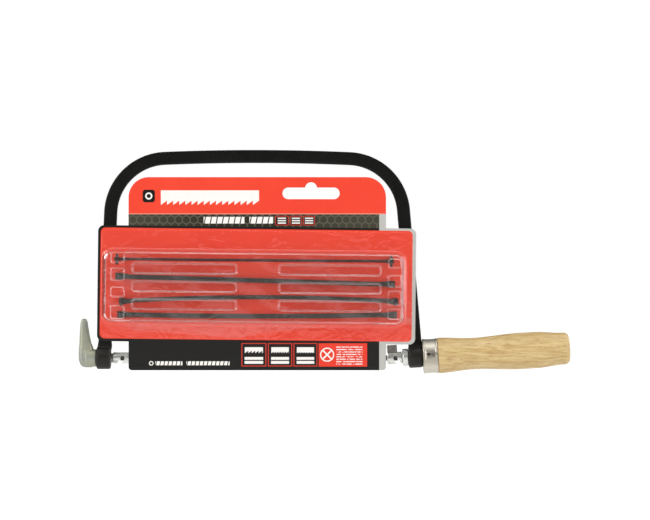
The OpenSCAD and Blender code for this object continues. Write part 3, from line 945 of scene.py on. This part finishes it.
def make_pins(name, line, steel, body, places, nodes):
    """Cross pins with slightly eased ends, through the blade at its ends."""
    profile = rounded([(-0.5, 0, 0), (-0.5, 1, 0.06), (0.5, 1, 0.06), (0.5, 0, 0)], steps=4)
    angle = np.linspace(0, 2 * np.pi, 28, endpoint=False)[None, :]
    r = profile[:, 1:] * PIN_RADIUS
    faces = grid_faces(len(profile), 28, wrap_columns=True)
    out = profile[:, :1] * PIN_LENGTH + 0 * angle
    points = [line.place(place + r * np.cos(angle), out, r * np.sin(angle)) for place in places]
    faces = np.concatenate([faces + k * profile.shape[0] * 28 for k in range(len(places))])
    piece(name, np.stack(points), faces, steel, body, nodes, "pin_steel")


def make_blades(steel, pins):
    """The fitted blade between the holders and the four spares on the card, with their pins."""
    fitted = BladeLine()
    make_blade("fitted_blade_strip", fitted, FITTED_PITCH, steel, "fitted_blade", "blade")
    make_pins("fitted_front_pin", fitted, pins, "fitted_blade", [-HALF_SPAN], ["blade_front_pin"])
    make_pins("fitted_rear_pin", fitted, pins, "fitted_blade", [HALF_SPAN], ["blade_rear_pin"])
    for k, (heights, roll, shift, pitch) in SPARES.items():
        line = BladeLine(heights, roll, shift, SPARE_Y)
        make_blade(f"spare_strip_{k}", line, pitch, steel, "display_pack", f"spare_blade_{k}",
                   flare=0.5 * MM)
        make_pins(f"spare_pin_pair_{k}", line, pins, "display_pack", [-HALF_SPAN, HALF_SPAN],
                  [f"spare_pins_{k}"])


# --- Clear cover -------------------------------------------------------------------------

FLANGE = (-95.0, 92.5, 11.6, 77.0)
TRAY = (-95.0, 89.4, 19.2, 66.0)
# Thickness of the film, depth of the tray, and how far its bars sink and its pockets rise
FILM = 0.35
TRAY_DEPTH = 6.3
BAR_SINK = 1.3
POCKET_RISE = 0.95
BAR_ROWS = (53.7, 42.8, 32.1)
BAR_SPANS = ((-76.6, -12.6), (11.6, 74.2))
# Pockets over the blades' ends: (left, right, bottom, top)
POCKETS = (
    (-88.9, -80.4, 56.6, 63.8), (-88.9, -80.4, 46.0, 53.8), (-88.9, -80.4, 36.1, 42.6),
    (-88.9, -80.4, 23.0, 31.3), (77.8, 86.0, 55.4, 61.1), (77.8, 86.0, 43.9, 51.2),
    (77.8, 86.0, 33.0, 41.8), (77.8, 86.0, 24.5, 31.0),
)


def depth_inside(x, z, box, radius):
    """How far a point is inside a round-cornered rectangle: minus its signed distance."""
    left, right, bottom, top = box
    a = np.abs(x - (left + right) / 2) - ((right - left) / 2 - radius)
    b = np.abs(z - (bottom + top) / 2) - ((top - bottom) / 2 - radius)
    outside = np.hypot(np.maximum(a, 0), np.maximum(b, 0))
    return radius - outside - np.minimum(np.maximum(a, b), 0)


def cover_height(x, z):
    """How far the film stands off the card, in millimetres: a tray with drafted walls, sunk by
    stiffening bars between the blades and raised a little over the blades' ends."""
    tray = TRAY_DEPTH * ease(depth_inside(x, z, TRAY, 7) / 3.6)
    sunk, raised = np.zeros_like(x), np.zeros_like(x)
    for row in BAR_ROWS:
        for left, right in BAR_SPANS:
            inside = depth_inside(x, z, (left, right, row - 3.7, row + 3.7), 2.6)
            sunk = np.maximum(sunk, ease(inside / 1.3))
    for pocket in POCKETS:
        raised = np.maximum(raised, ease(depth_inside(x, z, pocket, 1.6) / 0.8))
    waver = 0.12 * np.sin(x / 17) * np.sin(z / 9) + 0.05 * np.sin(x / 5.3 + z / 3.1)
    return FILM + tray + ease(tray / 4) * (POCKET_RISE * raised - BAR_SINK * sunk + waver)


def make_cover(clear):
    """The film's outer surface over a grid on its flange, with the corners drawn in to round
    the outline, turned with the panel and thickened inwards."""
    columns, rows = 620, 230
    left, right, bottom, top = FLANGE
    u, v = np.meshgrid(np.linspace(-1, 1, columns), np.linspace(-1, 1, rows), indexing="ij")
    x = (left + right) / 2 + u * (right - left) / 2
    z = (bottom + top) / 2 + v * (top - bottom) / 2
    # a point near a corner slides in until it is inside the rounded outline
    over = np.maximum(-depth_inside(x, z, FLANGE, 4), 0)
    x = x - np.sign(u) * over * 0.75
    z = z - np.sign(v) * over * 0.75
    height = cover_height(x, z)
    c, s = math.cos(PANEL_TURN), math.sin(PANEL_TURN)
    across, upward = x - PANEL_MIDDLE[0], z - PANEL_MIDDLE[1]
    x, z = PANEL_MIDDLE[0] + across * c + upward * s, PANEL_MIDDLE[1] - across * s + upward * c
    points = np.stack([x * MM, CARD_FRONT - height * MM, z * MM], -1)
    cover = piece("clear_cover", points, grid_faces(columns, rows), clear, "display_pack",
                  ["blister_shell"], "clear_cover", crease=180)
    if cover.data.polygons[0].normal.y > 0:
        cover.data.flip_normals()
    modify(cover, "SOLIDIFY", thickness=FILM * 0.9 * MM, offset=-1, use_even_offset=False)


# --- Studio ------------------------------------------------------------------------------

FLOOR_Z = -100 * MM
FLOOR_HALF = 6.0


def make_camera():
    """Level with the middle of the card, a little towards the handle, from 1.6 m."""
    data = bpy.data.cameras.new("camera")
    data.lens, data.sensor_width = 146.1, 36
    camera = bpy.data.objects.new("camera", data)
    camera.location = (40.0 * MM, -1.6, 59.4 * MM)
    camera.rotation_euler = (math.pi / 2, 0, 0)
    bpy.context.scene.collection.objects.link(camera)
    bpy.context.scene.camera = camera


def area_light(name, place, aim, size, power):
    data = bpy.data.lights.new(name, "AREA")
    data.shape, data.size, data.size_y, data.energy = "RECTANGLE", *size, power
    light = bpy.data.objects.new(name, data)
    light.location = place
    light.rotation_euler = (Vector(aim) - Vector(place)).to_track_quat("-Z", "Y").to_euler()
    bpy.context.scene.collection.objects.link(light)


def make_lights():
    """Broad soft boxes to the left and right of the camera, above, and behind."""
    middle = (0.04, 0, 0.06)
    area_light("left_box", (-1.15, -0.95, 0.6), middle, (0.6, 0.9), 11)
    area_light("right_box", (1.2, -0.95, 0.35), middle, (0.5, 0.9), 8)
    area_light("top_box", (0.05, -0.3, 1.1), middle, (0.9, 0.5), 2)
    area_light("back_left_box", (-1.0, 1.0, 0.5), middle, (0.6, 0.8), 7)
    area_light("back_right_box", (1.1, 1.0, 0.6), middle, (0.6, 0.8), 7)


def make_room():
    """A pale room that the camera sees as white. It is dark straight in front of the saw and over
    most of its back, which gives metal its shading and its edges. The floor lies below."""
    world = bpy.data.worlds.new("room")
    bpy.context.scene.world = world
    world.use_nodes = True
    room = Nodes(world.node_tree)
    ahead = room.add("ShaderNodeTexCoord", output="Generated")
    depth = room.add("ShaderNodeSeparateXYZ", {}, {"Vector": ahead}, output="Y")
    walls = room.mix(abs(depth * 1.25 + 0.25).between(0.95, 0.4), grey(0.06), grey(0.85))
    seen = room.add("ShaderNodeLightPath", output="Is Camera Ray")
    shown = room.mix(seen, walls, grey(1.0))
    room.tree.links.new(shown.socket, room.tree.nodes["Background"].inputs["Color"])

    mesh = bpy.data.meshes.new("floor")
    sides = ((-1, -1), (1, -1), (1, 1), (-1, 1))
    corners = [(a * FLOOR_HALF, b * FLOOR_HALF, FLOOR_Z) for a, b in sides]
    mesh.from_pydata(corners, [], [(0, 1, 2, 3)])
    paper = Finish("floor_paper", Base_Color=grey(0.86), Roughness=0.9, Emission_Strength=1.0)
    seen = paper.add("ShaderNodeLightPath", output="Is Camera Ray")
    paper.drive(Emission_Color=paper.mix(seen, grey(0.1), grey(0.62)))
    mesh.materials.append(paper.material)
    floor = bpy.data.objects.new("floor", mesh)
    bpy.context.scene.collection.objects.link(floor)
    bpy.context.scene.view_settings.view_transform = "Standard"


# --- The saw -----------------------------------------------------------------------------

make_camera()
make_lights()
make_room()

paint = black_paint()
zinc = bright_zinc()
pin_finish = pin_steel()
make_bow(paint)
make_bushes(paint)
make_lever(cast_zinc())
ease_edges("front_spigot", 0.18 * MM, zinc)
ease_edges("rear_spigot", 0.18 * MM, zinc)
ease_edges("rear_tab", 0.2 * MM, tab_steel())
make_collar(zinc)
make_ferrule(drawn_steel())
make_handle(varnished_wood())
paint_node("handle_nut", turned_brass())
make_blades(blued_steel(), pin_finish)
paint_node("backing_card", printed_card())
make_cover(clear_sheet())
ease_edges("mounting_pads", 0.3 * MM, pad_foam())
